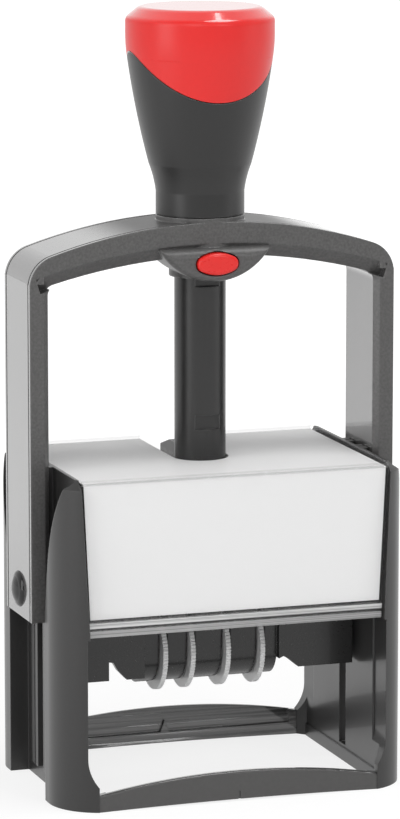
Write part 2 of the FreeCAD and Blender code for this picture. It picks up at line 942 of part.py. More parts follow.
def make_yoke():
    part = body("yoke_frame")
    side, corner, big, corner_height, meet_across, meet_up = arch_lines(Size(0, "0"))
    under = arch_top - arch_height
    centre = under - under_radius
    inner_middle = arm_inner - inner_corner
    inner_reach = under_radius - inner_corner
    inner_lift = root(inner_reach * inner_reach - inner_middle * inner_middle)
    inner_height = centre + inner_lift
    bend_across = inner_middle * (under_radius / inner_reach)
    bend_up = centre + inner_lift * (under_radius / inner_reach)
    front = sketch(part, "XZ")
    outline(
        front,
        (-side, arm_bottom),
        (-arm_inner, arm_bottom),
        (-arm_inner, inner_height),
        (-bend_across, bend_up, inner_corner, 1),
        (bend_across, bend_up, under_radius, 1),
        (arm_inner, inner_height, inner_corner, 1),
        (arm_inner, arm_bottom),
        (side, arm_bottom),
        (side, corner_height),
        (meet_across, meet_up, corner, -1),
        (-meet_across, meet_up, big, -1),
        (-side, corner_height, corner, -1),
    )
    pad(part, front, arm_depth, both=True)
    dressed(part, "Chamfer", arm_edge, is_arm_edge)

    # The arch's lower edges slope in, front and back.
    for turn in (-1, 1):
        slope = sketch(part, "YZ", up=centre)
        low = under_radius - 0.5
        high = under_radius + arch_height - arch_face
        tip = turn * (arm_half + 0.5)
        if turn < 0:
            outline(slope, (tip, low), (-arm_half + arch_undercut, low), (tip + 0.5, high), (tip, high))
        else:
            outline(slope, (arm_half - arch_undercut, low), (tip, low), (tip, high), (tip - 0.5, high))
        turned(part, "Groove", slope, axis="H_Axis", angle=slope_sweep, both=True)

    # The arms run up through the slopes' ends to the outer corners.
    column = sketch(part, "XZ", lift=arm_half)
    middle = side - corner
    inside = arm_inner + arm_edge
    column_top = corner_height + root(corner * corner - (inside - middle) * (inside - middle))
    face_low = centre + under_radius + arch_height - arch_face - arch_corner
    outline(
        column,
        (inside, face_low),
        (side, face_low),
        (side, corner_height),
        (inside, column_top, corner, 1),
    )
    outline(
        column,
        (-inside, face_low),
        (-inside, column_top),
        (-side, corner_height, corner, 1),
        (-side, face_low),
    )
    pad(part, column, arm_depth, flip=True)

    # Shallow grooves set off the smooth band that runs round the outside.
    for place in (arm_half - band_rim, band_rim + band_groove_width - arm_half):
        groove = sketch(part, "XZ", lift=place)
        draw_outer(groove, Size(-1, "-1"), arm_bottom - 2)
        draw_outer(groove, band_groove, arm_bottom - 1)
        pocket(part, groove, band_groove_width)

    # Boss for the lock button, and the sleeve and collar that run on the tube.
    boss = sketch(part, "XZ", lift=boss_front)
    shoulder = under + boss_shoulder
    drop = shoulder - boss_bottom
    bowl = (boss_half * boss_half + drop * drop) / (2 * drop)
    outline(boss, (-boss_half, shoulder), (boss_half, shoulder, bowl, -1))
    pad(part, boss, boss_front, flip=True)
    dressed(part, "Fillet", boss_round, lambda edge: is_boss_rim(edge, bowl))
    crown = sketch(part, "YZ")
    outline(
        crown,
        (-boss_front - 1, shoulder - boss_crown),
        (-boss_front, shoulder - boss_crown),
        (boss_crown - boss_front, shoulder, boss_crown, 1),
        (boss_crown - boss_front, shoulder + 1),
        (-boss_front - 1, shoulder + 1),
    )
    pocket(part, crown, 2 * boss_half, both=True)
    sleeve = sketch(part, "XY", lift=boss_bottom + sleeve_step)
    ring(sleeve, 0, 0, sleeve_radius)
    pad(part, sleeve, arch_top - boss_bottom - sleeve_step - 1)
    collar = sketch(part, "XY", lift=under + 1)
    ring(collar, 0, 0, collar_radius)
    pad(part, collar, collar_top - under - 1)
    bore = sketch(part, "XY", lift=collar_top + 1)
    ring(bore, 0, 0, tube_radius + running_gap)
    pocket(part, bore, collar_top - boss_bottom + 2)
    hole = sketch(part, "XZ", lift=boss_front + 1)
    draw_oval(hole, button_width + 2 * button_gap, button_height + 2 * button_gap, button_level)
    pocket(part, hole, boss_front + 1 - ledge_depth)
    stem = sketch(part, "XZ", lift=boss_front + 1)
    stem_half = pawl_width / 2 + stem_gap
    stem_rise = pawl_height / 2 + stem_gap
    block(stem, -stem_half, stem_half, button_level - stem_rise, button_level + stem_rise)
    pocket(part, stem, boss_front + 1)
    for turn in (-1, 1):
        pin = sketch(part, "YZ", lift=turn * (arm_inner - 1))
        ring(pin, 0, axle_height, pin_radius + running_gap)
        pocket(part, pin, arm_thickness + 2, flip=turn > 0)
    return part


def draw_oval(drawing, width, height, level):
    """A wide oval of four arcs that run smoothly into each other."""
    half = height / 2
    end_radius = height * 0.36
    middle = width / 2 - end_radius
    long_radius = (middle * middle + half * half - end_radius * end_radius) / (2 * half - 2 * end_radius)
    share = long_radius / (long_radius - end_radius)
    across = middle * share
    up = (long_radius - half) * (share - 1)
    outline(
        drawing,
        (-across, level - up, end_radius, -1),
        (across, level - up, long_radius, -1),
        (across, level + up, end_radius, -1),
        (-across, level + up, long_radius, -1),
    )


def is_arm_edge(edge):
    """The arms' inner front and back corners, below the arch."""
    if not along(edge, Vector(0, 0, 1)):
        return False
    place = edge.CenterOfMass
    return near(abs(place.x), arm_inner) and near(abs(place.y), arm_half)


def is_boss_rim(edge, bowl):
    """The boss's curved lower edge on its front face."""
    if edge.Curve.TypeId != "Part::GeomCircle" or not near(edge.Curve.Radius, bowl):
        return False
    return near(edge.CenterOfMass.y, -boss_front)


yoke_frame = keep(make_yoke())


# Handle: a turned grip whose top is cut to a saddle for the cap.

neck_foot = collar_top + handle_gap
blend_foot = neck_foot + neck_height
blend_top = blend_foot + neck_blend_height
blend_radius = collar_radius + neck_blend_step
cap_side = total_height - cap_side_drop
flare_top = cap_side + flare_lead
cap_tongue = total_height - cap_tongue_drop
cap_rim = total_height - cap_rim_drop
saddle_swell = cap_side - cap_tongue
saddle_radius = (cap_radius * cap_radius + saddle_swell * saddle_swell) / (2 * saddle_swell)
saddle_reach = (cap_radius + saddle_radius) / 2
saddle_end = cap_tongue + rise(saddle_radius, saddle_reach)
core_radius = cap_radius - cap_wall - handle_bore_gap - core_step
core_top = cap_rim - cap_wall


def make_handle():
    part = body("handle_body")
    profile = sketch(part, "XZ")
    outline(
        profile,
        (0, neck_foot),
        (collar_radius, neck_foot),
        (collar_radius, blend_foot),
        (blend_radius, blend_top, neck_blend_radius, 1),
        (cap_radius, flare_top, flare_radius, -1),
        (0, flare_top),
    )
    turned(part, "Revolution", profile)
    saddle = sketch(part, "XZ")
    draw_saddle(saddle, handle_gap)
    pocket(part, saddle, 3 * cap_radius, both=True)
    core = sketch(part, "XY", lift=cap_tongue - core_seat)
    ring(core, 0, 0, core_radius)
    pad(part, core, core_top - cap_tongue + core_seat)
    bore = sketch(part, "XY", lift=neck_foot - 1)
    ring(bore, 0, 0, tube_radius + handle_bore_gap)
    pocket(part, bore, core_top - seat_thickness - neck_foot + 1, flip=True)
    return part


def draw_saddle(drawing, drop):
    """The region above the saddle line, for cutting the handle's top away."""
    outline(
        drawing,
        (-saddle_reach, saddle_end - drop),
        (0, cap_tongue - drop, saddle_radius, -1),
        (saddle_reach, saddle_end - drop, saddle_radius, -1),
        (saddle_reach, total_height + 1),
        (-saddle_reach, total_height + 1),
    )


handle_body = keep(make_handle())


def make_cap():
    part = body("handle_cap")
    profile = sketch(part, "XZ")
    outline(
        profile,
        (0, blend_top),
        (blend_radius, blend_top),
        (cap_radius, flare_top, flare_radius, -1),
        (cap_radius, cap_rim),
        (cap_top_radius, total_height),
        (0, total_height),
    )
    turned(part, "Revolution", profile)
    dressed(part, "Fillet", shoulder_round, is_cap_shoulder)
    below = sketch(part, "XZ")
    outline(
        below,
        (-saddle_reach, saddle_end, saddle_radius, 1),
        (-saddle_reach, blend_top - 1),
        (saddle_reach, blend_top - 1),
        (saddle_reach, saddle_end),
        (0, cap_tongue, saddle_radius, 1),
    )
    pocket(part, below, 3 * cap_radius, both=True)
    cavity = sketch(part, "XY", lift=blend_top)
    ring(cavity, 0, 0, core_radius + handle_bore_gap / 2)
    pocket(part, cavity, core_top - blend_top + handle_bore_gap / 2, flip=True)
    dressed(part, "Fillet", cap_round, is_cap_rim)
    return part


def is_cap_rim(edge):
    """The two circles where the cap's wall, bevel and top meet."""
    if edge.Curve.TypeId != "Part::GeomCircle":
        return False
    level = edge.CenterOfMass.z
    return near(level, cap_rim) or near(level, total_height)


def is_cap_shoulder(edge):
    """The circle where the cap's flare meets its upright side."""
    return edge.Curve.TypeId == "Part::GeomCircle" and near(edge.CenterOfMass.z, flare_top)


handle_cap = keep(make_cap())


# Main spring and its seat. The spring stands in the tube and pushes the handle up.

spring_foot = deck_top + flange_thickness
spring_head = core_top - seat_thickness - seat_thickness


def make_spring_seat():
    part = body("spring_seat")
    profile = sketch(part, "XZ")
    outline(
        profile,
        (0, spring_head - seat_thickness * 2),
        (spring_radius - 1.6 * spring_wire, spring_head - seat_thickness * 2),
        (spring_radius - 1.6 * spring_wire, spring_head),
        (tube_radius, spring_head),
        (tube_radius, spring_head + seat_thickness),
        (0, spring_head + seat_thickness),
    )
    turned(part, "Revolution", profile)
    return part


spring_seat = keep(make_spring_seat())


def helix_path(radius, low, high, turns):
    """A spring's centre line in quarter-turn arcs that climb evenly, as one wire."""
    quarters = 4
    steps = quarters * turns
    angle = 2 * math.pi / quarters
    climb = (high - low) / steps

    def place(step):
        turn = step * angle
        return Vector(radius * math.cos(turn), radius * math.sin(turn), low + climb * step)

    edges = []
    for step in range(steps):
        edges.append(Part.Arc(place(step), place(step + 0.5), place(step + 1)).toShape())
    return Part.Wire(edges)


def make_spring(name, radius, wire, low, high, turns):
    """A coil of round wire between two levels, its ends just inside them."""
    foot = low + wire / 2
    head = high - wire / 2
    path = helix_path(radius, foot, head, turns)
    start = path.Vertexes[0].Point
    heading = path.Edges[0].tangentAt(path.Edges[0].FirstParameter)
    circle = Part.Wire([Part.Circle(start, heading, wire / 2).toShape()])
    coil = path.makePipeShell([circle], True, False)
    gap = (head - foot) / turns - wire
    print(f"{name}: {turns} turns, {gap:.2f} mm between turns")
    part = doc.addObject("Part::Feature", name)
    part.Label = name
    part.Shape = coil
    return part


main_spring = keep(
    make_spring(
        "main_spring",
        spring_radius.value - spring_wire.value / 2,
        spring_wire.value,
        spring_foot.value,
        spring_head.value,
        int(spring_turns.value),
    )
)


# Lock button: a domed oval head, a stem and the pawl that enters the tube's pocket.


def make_button():
    part = body("lock_button")
    head = sketch(part, "XZ", lift=button_face)
    draw_oval(head, button_width, button_height, button_level)
    pad(part, head, head_depth, flip=True)
    dressed(part, "Fillet", button_round, lambda edge: near(edge.CenterOfMass.y, -button_face))
    stem = sketch(part, "XZ", lift=head_back)
    half = pawl_height / 2
    block(stem, -pawl_width / 2, pawl_width / 2, button_level - half, button_level + half)
    pad(part, stem, head_back - tube_radius - stem_short, flip=True)
    return part


lock_button = keep(make_button())


# Button spring: a bowed leaf with a slot for the stem, between the head and the boss's ledge.


def make_button_spring():
    part = body("button_spring")
    top = ledge_depth + spring_bow
    bowed = sketch(part, "XY", lift=button_level)
    reach = leaf_reach
    outer = (reach * reach + spring_bow * spring_bow) / (2 * spring_bow)
    inside = reach - leaf_thickness
    sag = spring_bow - leaf_thickness
    inner = (inside * inside + sag * sag) / (2 * sag)
    outline(
        bowed,
        (-reach, -ledge_depth),
        (0, -top, outer, -1),
        (reach, -ledge_depth, outer, -1),
        (inside, -ledge_depth),
        (0, leaf_thickness - top, inner, 1),
        (-inside, -ledge_depth, inner, 1),
    )
    pad(part, bowed, leaf_height, both=True)
    slot = sketch(part, "XZ", lift=top + 1)
    half = pawl_width / 2 + stem_gap
    rise_half = pawl_height / 2 + stem_gap
    block(slot, -half, half, button_level - rise_half, button_level + rise_half)
    pocket(part, slot, spring_bow + 2)
    return part


button_spring = keep(make_button_spring())


# Axle pins: domed heads outside the arms, shanks through the slots into the date unit.


def make_axle_pin():
    part = body("right_axle_pin")
    profile = sketch(part, "XZ", up=axle_height)
    shank_end = unit_half - pin_reach
    dome = (pin_shoulder * pin_shoulder + pin_crown * pin_crown) / (2 * pin_crown)
    outline(
        profile,
        (shank_end, 0),
        (arm_outer + pin_head_height, 0),
        (arm_outer + pin_head_height - pin_crown, pin_shoulder, dome, -1),
        (arm_outer, pin_head_radius, pin_head_height, -1),
        (arm_outer, pin_radius),
        (shank_end, pin_radius),
    )
    turned(part, "Revolution", profile, axis="H_Axis")
    return part


right_axle_pin = keep(make_axle_pin())
left_axle_pin = keep(flipped(right_axle_pin, "left_axle_pin"))


# Date unit frame: end boxes, cheeks and the curved guards between the wheels, under a web.

holder_floor = plate_face - plate_thickness - holder_thickness
carrier_floor = holder_floor - carrier_thickness
unit_floor = axle_height - unit_drop
cheek_outer = cheek_inner + cheek_wall
window_left = -cheek_inner - window_margin
window_right = wheel_four - wheel_thickness / 2
wheels = (wheel_one, wheel_two, wheel_three, wheel_four)


def make_unit_frame():
    part = body("unit_frame")
    web = sketch(part, "XY", lift=carrier_floor - web_thickness)
    block(web, -unit_half, unit_half, -unit_half_depth, unit_half_depth)
    pad(part, web, web_thickness)
    ends = sketch(part, "XZ")
    box_inner = unit_half - box_width
    arch_floor = unit_floor + notch_depth
    for side in (-1, 1):
        outline(
            ends,
            (side * unit_half, carrier_floor),
            (side * unit_half, unit_floor),
            (side * box_inner, unit_floor),
            (side * box_inner, arch_floor),
            (side * cheek_outer, arch_floor - unit_wall / 2),
            (side * cheek_inner, arch_floor - unit_wall),
            (side * cheek_inner, carrier_floor),
        )
    pad(part, ends, unit_depth, both=True)

    # The front wall comes down to the floor but for a notch on each side of the wheels.
    front = sketch(part, "XZ", lift=unit_half_depth)
    outline(
        front,
        (-cheek_inner, carrier_floor),
        (-box_inner, carrier_floor),
        (-box_inner, arch_floor),
        (1 - box_inner, arch_floor),
        (-(block_reach + unit_wall), unit_floor + notch_depth / 2),
        (-block_reach, unit_floor),
        (-cheek_inner, unit_floor),
    )
    outline(
        front,
        (cheek_inner, carrier_floor),
        (cheek_inner, arch_floor - 1),
        (cheek_inner + unit_wall, unit_floor + notch_depth / 2),
        (gap_reach, unit_floor),
        (box_inner, unit_floor),
        (box_inner, carrier_floor),
    )
    pad(part, front, unit_wall, flip=True)

    # The end boxes are hollow; the carrier plate closes them.
    inside = sketch(part, "XY", lift=carrier_floor)
    deep = unit_half_depth - unit_wall
    for side in (-1, 1):
        block(inside, side * cheek_outer, side * (unit_half - unit_wall), -deep, deep)
    pocket(part, inside, carrier_floor - arch_floor - unit_wall)
    window = sketch(part, "XY", lift=carrier_floor)
    draw_band_window(window)
    pocket(part, window, web_thickness)

    # Guards: open loops round the bands, between the wheels.
    gap = wheel_thickness / 2 + guard_gap
    inner = drum_radius + band_gap + band_thickness + guard_gap
    outer = inner + guard_wall
    starts = [-cheek_inner] + [place + gap for place in wheels]
    stops = [place - gap for place in wheels] + [cheek_inner]
    for start, stop in zip(starts, stops):
        guard = sketch(part, "YZ", lift=start)
        outline(
            guard,
            (-outer, carrier_floor),
            (-outer, wheel_height),
            (0, wheel_height - outer, outer, -1),
            (outer, wheel_height, outer, -1),
            (outer, carrier_floor),
            (inner, carrier_floor),
            (inner, wheel_height),
            (0, wheel_height - inner, inner, 1),
            (-inner, wheel_height, inner, 1),
            (-inner, carrier_floor),
        )
        pad(part, guard, stop - start)
    bores = sketch(part, "YZ", lift=-unit_half - 1)
    ring(bores, 0, axle_height, pin_radius + running_gap)
    pocket(part, bores, 2 * unit_half + 2, flip=True)
    axle = sketch(part, "YZ", lift=-cheek_outer - 1)
    ring(axle, 0, wheel_height, axle_radius + running_gap)
    pocket(part, axle, 2 * cheek_outer + 2, flip=True)
    return part


def draw_band_window(drawing):
    reach = window_depth / 2 + window_room
    block(drawing, -cheek_inner, cheek_inner, -reach, reach)


unit_frame = keep(make_unit_frame())


# Carrier plate: the flat plate on the unit that the plate holder snaps to.


def make_carrier_plate():
    part = body("carrier_plate")
    plate = sketch(part, "XY", lift=carrier_floor)
    deep = plate_depth / 2 - carrier_inset
    block(plate, -unit_half, unit_half, -deep, deep)
    pad(part, plate, carrier_thickness)
    window = sketch(part, "XY", lift=holder_floor)
    draw_band_window(window)
    pocket(part, window, carrier_thickness)
    return part


carrier_plate = keep(make_carrier_plate())


# Plate holder and text plate. The plate is rubber, with raised lines of type round the date window.


def make_plate_holder():
    part = body("plate_holder")
    deep = plate_depth / 2 - holder_inset
    plate = sketch(part, "XY", lift=holder_floor)
    block(plate, 1 - unit_half, unit_half - 1, -deep, deep)
    pad(part, plate, holder_thickness)
    window = sketch(part, "XY", lift=holder_floor)
    block(window, window_left, window_right, -window_depth / 2, window_depth / 2)
    pocket(part, window, holder_thickness, flip=True)
    return part


plate_holder = keep(make_plate_holder())


def make_text_plate():
    part = body("text_plate")
    wide = plate_width / 2
    deep = plate_depth / 2
    base = sketch(part, "XY", lift=plate_face - plate_thickness)
    block(base, -wide, wide, -deep, deep)
    pad(part, base, plate_thickness - type_height)
    raised = sketch(part, "XY", lift=plate_face - type_height)
    block(raised, -wide, wide, -deep, deep)
    block(raised, line_width - wide, wide - line_width, line_width - deep, deep - line_width)
    for row in range(3):
        low = window_depth / 2 + line_space + row * (line_height + line_space)
        reach = wide - 2 * line_space - row * line_inset
        block(raised, -reach, reach, low, low + line_height)
        block(raised, -reach, reach, -low - line_height, -low)
    pad(part, raised, type_height)
    window = sketch(part, "XY", lift=plate_face - plate_thickness)
    block(window, window_left, window_right, -window_depth / 2, window_depth / 2)
    pocket(part, window, plate_thickness, flip=True)
    return part


text_plate = keep(make_text_plate())


# Band bridge: a blade between the cheeks whose rounded top backs the bands at the plate.

nose_height = plate_face - band_thickness - nose_radius
nose_back = nose_radius - nose_gap
blade_foot = wheel_height + wheel_radius + 1


def make_band_bridge():
    part = body("band_bridge")
    blade = sketch(part, "YZ", lift=-cheek_inner)
    block(blade, -blade_half, blade_half, blade_foot, holder_floor)
    pad(part, blade, 2 * cheek_inner)
    nose = sketch(part, "YZ", lift=-cheek_inner)
    outline(
        nose,
        (-blade_half, holder_floor - nose_radius),
        (blade_half, holder_floor - nose_radius),
        (nose_back, nose_height),
        (0, nose_height + nose_back, nose_back, -1),
        (-nose_back, nose_height, nose_back, -1),
    )
    pad(part, nose, window_right + cheek_inner - band_gap)
    return part


band_bridge = keep(make_band_bridge())


def make_wheel_axle():
    part = body("wheel_axle")
    rod = sketch(part, "YZ", lift=-cheek_outer)
    ring(rod, 0, wheel_height, axle_radius)
    pad(part, rod, 2 * cheek_outer)
    return part


wheel_axle = keep(make_wheel_axle())


# Thumbwheels and date bands. Each wheel is moulded with the drum that drives its band.


def drum_span(number):
    """Where the band of this wheel lies: from the wheel before it, or the cheek, to the wheel."""
    gap = wheel_thickness / 2 + band_side_gap
    start = wheels[number - 1] + gap if number else band_side_gap - cheek_inner
    return start, wheels[number] - gap


def make_thumbwheel(number):
    part = body(f"thumbwheel_{number + 1}")
    start, stop = drum_span(number)
    face = wheels[number] - wheel_thickness / 2
    disc = sketch(part, "YZ", lift=face, up=wheel_height)
    ring(disc, 0, 0, wheel_radius)
    pad(part, disc, wheel_thickness)
    notch = sketch(part, "YZ", lift=face, up=wheel_height)
    deep = wheel_radius - knurl_depth
    clear = wheel_radius + knurl_depth / 4
    outline(notch, (-knurl_depth, clear), (0, deep), (knurl_depth, clear))
    cut = pocket(part, notch, wheel_thickness, flip=True)
    repeated(part, cut, notch, knurl_count)
    drum = sketch(part, "YZ", lift=start, up=wheel_height)
    ring(drum, 0, 0, drum_radius)
    pad(part, drum, face - start)
    bore = sketch(part, "YZ", lift=start, up=wheel_height)
    ring(bore, 0, 0, axle_radius + running_gap)
    pocket(part, bore, face + wheel_thickness - start, flip=True)
    return part


def draw_belt(drawing, low_radius, high_radius):
    """An egg-shaped loop round the drum below and the bridge's nose above."""
    run = nose_height - wheel_height
    lean = (low_radius - high_radius) / run
    upright = root(1 - lean * lean)
    outline(
        drawing,
        (low_radius * upright, wheel_height + low_radius * lean, low_radius, -1),
        (high_radius * upright, nose_height + high_radius * lean),
        (-high_radius * upright, nose_height + high_radius * lean, high_radius, -1),
        (-low_radius * upright, wheel_height + low_radius * lean),
        (0, wheel_height - low_radius, low_radius, -1),
    )


def make_date_band(number):
    part = body(f"date_band_{number + 1}")
    start, stop = drum_span(number)
    inner = drum_radius + band_gap
    loop = sketch(part, "YZ", lift=start)
    draw_belt(loop, inner + band_thickness, nose_radius + band_thickness)
    draw_belt(loop, inner, nose_radius)
    pad(part, loop, stop - start)
    return part


for wheel_number in range(len(wheels)):
    keep(make_thumbwheel(wheel_number))
for wheel_number in range(len(wheels)):
    keep(make_date_band(wheel_number))


# Ink pad: a felt block in a tray that slides out at the back.

tray_half = half_opening - tray_gap
tray_back = half_opening_depth - runner_width


def make_pad_tray():
    part = body("pad_tray")
    wide = plate_width / 2 + pad_margin
    deep = plate_depth / 2 + pad_margin / 2
    front = deep + pad_margin / 2
    shell = sketch(part, "XY", lift=tray_foot)
    block(shell, -tray_half, tray_half, -front, tray_back)
    pad(part, shell, tray_thickness)
    grip = sketch(part, "XY", lift=tray_foot - grip_drop)
    block(grip, -tray_half / 2, tray_half / 2, tray_back, tray_back + grip_depth)
    pad(part, grip, grip_drop + tray_thickness)
    well = sketch(part, "XY", lift=tray_foot)
    block(well, -wide, wide, -deep, deep)
    pocket(part, well, pad_thickness - pad_proud, flip=True)
    lid = sketch(part, "XY", lift=tray_top)
    deep_inside = front - tray_wall
    block(lid, tray_wall - tray_half, tray_half - tray_wall, -deep_inside, tray_back - tray_wall)
    pocket(part, lid, tray_thickness - pad_thickness + pad_proud - tray_wall)
    return part


pad_tray = keep(make_pad_tray())


def make_ink_pad():
    part = body("ink_pad")
    wide = plate_width / 2 + pad_margin
    deep = plate_depth / 2 + pad_margin / 2
    felt = sketch(part, "XY", lift=pad_face)
    block(felt, -wide, wide, -deep, deep)
    pad(part, felt, pad_thickness)
    return part


ink_pad = keep(make_ink_pad())


def finish():
    doc.recompute()
    for item in doc.Objects:
        if "Invalid" in item.State or "Error" in item.State:
            raise ValueError(f"{item.Label} failed")
    os.makedirs("parts", exist_ok=True)
    for part in nodes:
        shape = part.Shape
        if shape.isNull() or not shape.isValid():
            raise ValueError(f"{part.Label} has no sound shape")
        shape.exportStep(f"parts/{part.Label}.step")
        print(part.Label, len(shape.Solids), round(shape.Volume, 1))


finish()
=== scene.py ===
import math

import bmesh
import bpy
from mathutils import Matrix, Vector


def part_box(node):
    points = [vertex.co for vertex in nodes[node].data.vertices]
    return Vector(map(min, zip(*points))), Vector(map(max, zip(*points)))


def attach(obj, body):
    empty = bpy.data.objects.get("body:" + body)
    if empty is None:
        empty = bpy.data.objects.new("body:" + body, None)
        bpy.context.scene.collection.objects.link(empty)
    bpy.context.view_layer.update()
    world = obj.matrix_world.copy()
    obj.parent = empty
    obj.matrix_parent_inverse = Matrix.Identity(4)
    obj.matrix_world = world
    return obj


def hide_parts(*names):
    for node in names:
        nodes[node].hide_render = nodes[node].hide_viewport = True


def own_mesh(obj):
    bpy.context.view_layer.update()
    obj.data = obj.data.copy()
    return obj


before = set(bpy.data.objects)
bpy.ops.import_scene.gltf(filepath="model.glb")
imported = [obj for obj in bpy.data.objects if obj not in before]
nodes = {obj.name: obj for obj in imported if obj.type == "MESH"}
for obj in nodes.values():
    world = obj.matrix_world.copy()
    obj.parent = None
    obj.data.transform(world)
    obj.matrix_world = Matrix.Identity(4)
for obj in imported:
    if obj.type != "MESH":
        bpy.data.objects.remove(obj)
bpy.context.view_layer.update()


# Side frames: on each side two legs and the wall between them, in one moulding of charcoal
# plastic. The faces that a hand meets carry a fine spark-eroded grain, and the wall's faces,
# along which the arm and the print unit run, are a little glossier.

LEG_INNER = 0.0285
LEG_FADE = 0.002
WALL_POLISH = 0.2
EDGE_ROUND = 0.0004
PATCHES_PER_METRE = 55.0
POLISHED = 0.13
RIM_POLISH = 0.8
RIM_WEAR = 0.7
WORN_LIGHTER = 1.6


class Shade:
    """A socket in a material. Arithmetic on it adds Math nodes to the material."""

    def __init__(self, tree, socket):
        self.tree = tree
        self.socket = socket

    def node(self, kind, settings=(), output=0, **inputs):
        """Adds a node, sets it up, then fills its inputs by name, or by number as i0, i1."""
        made = self.tree.nodes.new("ShaderNode" + kind)
        for name, value in dict(settings).items():
            setattr(made, name, value)
        for name, value in inputs.items():
            numbered = name[0] == "i" and name[1:].isdigit()
            fill(made.inputs[int(name[1:]) if numbered else name.replace("_", " ")], value)
        return Shade(self.tree, made.outputs[output])

    def maths(self, operation, *values):
        """Adds a Math node over these values, each a shade or a number."""
        inputs = {f"i{number}": value for number, value in enumerate(values)}
        return self.node("Math", {"operation": operation}, **inputs)

    def __add__(self, other):
        return self.maths("ADD", self, other)

    __radd__ = __add__

    def __sub__(self, other):
        return self.maths("SUBTRACT", self, other)

    def __rsub__(self, other):
        return self.maths("SUBTRACT", other, self)

    def __mul__(self, other):
        return self.maths("MULTIPLY", self, other)

    __rmul__ = __mul__

    def __abs__(self):
        return self.maths("ABSOLUTE", self)

    def larger(self, other):
        return self.maths("MAXIMUM", self, other)

    def smaller(self, other):
        return self.maths("MINIMUM", self, other)

    def step(self, low, high):
        """0 below low, 1 above high, and smooth between them."""
        return self.node("MapRange", {"interpolation_type": "SMOOTHSTEP"},
                         Value=self, From_Min=low, From_Max=high)

    def mix(self, first, second):
        """Blends two colours by this value, 0 giving the first."""
        return self.node("Mix", {"data_type": "RGBA"}, output=2, i0=self, i6=first, i7=second)

    def part(self, axis):
        """One component of a vector."""
        return self.node("SeparateXYZ", output=axis, Vector=self)


def fill(socket, value):
    """Links an input to a shade, or sets it to a plain value."""
    if isinstance(value, Shade):
        value.tree.links.new(value.socket, socket)
    else:
        socket.default_value = value


def plug(surface, **inputs):
    """Fills a shader's own sockets by name."""
    for name, value in inputs.items():
        fill(surface.inputs[name.replace("_", " ")], value)


def grey(level):
    """A neutral plastic colour, a touch warm like carbon black."""
    return (level * 1.02, level, level * 0.99, 1.0)


def pure(level):
    """A grey with no tint."""
    return (level, level, level, 1.0)


def shaded(colour, share):
    """The same colour, lighter or darker by a share."""
    return tuple(channel * share for channel in colour[:3]) + (1.0,)


def start_material(name):
    """A new Principled material, its surface node, and its object coordinates in metres."""
    material = bpy.data.materials.new(name)
    material.use_nodes = True
    tree = material.node_tree
    surface = tree.nodes["Principled BSDF"]
    place = Shade(tree, None).node("TexCoord", output="Object")
    return material, surface, place


def facing(place, axis):
    """How far a face looks along one axis, from -1 to 1."""
    return place.node("TexCoord", output="Normal").part(axis)


def clouds(place, per_metre, detail=2.0, rough=0.5):
    """Soft noise between 0 and 1, with so many features to the metre."""
    return place.node("TexNoise", Vector=place, Scale=per_metre, Detail=detail, Roughness=rough)


def stretched(place, scale):
    """Coordinates scaled along each axis: a pattern on them is long where the scale is small."""
    return place.node("Mapping", Vector=place, Scale=scale)


def soft_edges(place, radius):
    """The normal as if each edge were rounded this much, and a mask of those edges."""
    soft = place.node("Bevel", {"samples": 6}, Radius=radius)
    flat = place.node("NewGeometry", output="Normal")
    even = soft.node("VectorMath", {"operation": "DOT_PRODUCT"}, output="Value", i0=soft, i1=flat)
    return soft, (1.0 - even).step(0.02, 0.25)


def moulded(name, colour, roughness, grain=1200.0, relief=0.00001, edge=EDGE_ROUND,
            coat=0.0, spread=0.08, polish=None):
    """Moulded plastic: uneven in colour and gloss, grained by the tool, paler at worn edges.

    polish, where given, makes a mask of the faces that come smooth and glossy from the tool.
    """
    material, surface, place = start_material(name)
    patches = clouds(place, PATCHES_PER_METRE)
    fine = clouds(place, grain, detail=3.0, rough=0.6)
    soft, rim = soft_edges(place, edge)
    mottle = patches * 0.4 + fine.step(0.25, 0.75) * 0.6
    body = mottle.mix(shaded(colour, 1 - spread), shaded(colour, 1 + spread))
    satin = roughness + (patches - 0.5) * 0.06 + (fine - 0.5) * 0.08
    glossy = POLISHED + (patches - 0.5) * 0.04
    bright = rim * RIM_POLISH
    if polish is not None:
        bright = bright.larger(polish(place))
    dull = 1.0 - bright
    plug(
        surface,
        Base_Color=(rim * patches * RIM_WEAR).mix(body, shaded(colour, WORN_LIGHTER)),
        Roughness=satin * dull + glossy * bright,
        Normal=fine.node("Bump", Strength=1.0, Distance=relief, Height=fine * dull, Normal=soft),
        IOR=1.5,
        Coat_Weight=coat + bright * (1.0 - coat),
        Coat_Roughness=0.06,
        Coat_IOR=1.55,
    )
    return material


def finish_node(name, material):
    """Gives a carried-over CAD node its material."""
    nodes[name].data.materials.clear()
    nodes[name].data.materials.append(material)


def runs_inside(place):
    """A slight polish on the wall's inner and outer faces, between the legs."""
    between = 1.0 - abs(place.part("Y")).step(LEG_INNER, LEG_INNER + LEG_FADE)
    return abs(facing(place, "X")).step(0.7, 0.95) * between * WALL_POLISH


leg_plastic = moulded("leg_plastic", grey(0.028), roughness=0.38, grain=1400.0,
                      polish=runs_inside)
for side in ("right", "left"):
    finish_node(f"{side}_side_frame", leg_plastic)


# Bars: the thin arched walls that close the base in front and behind. They are moulded in
# black plastic. The front bar is satin on its face and polished elsewhere, and the back bar
# is polished all over, with pale streaks painted into its colour as reflections.

WAVES_PER_METRE = 480.0
WAVE_HEIGHT = 0.0013
WAVE_STRETCH = (0.02, 1.0, 1.0)


def not_in_front(place):
    """1 everywhere but on the face that looks forwards."""
    return facing(place, "Y").step(-0.8, -0.5)


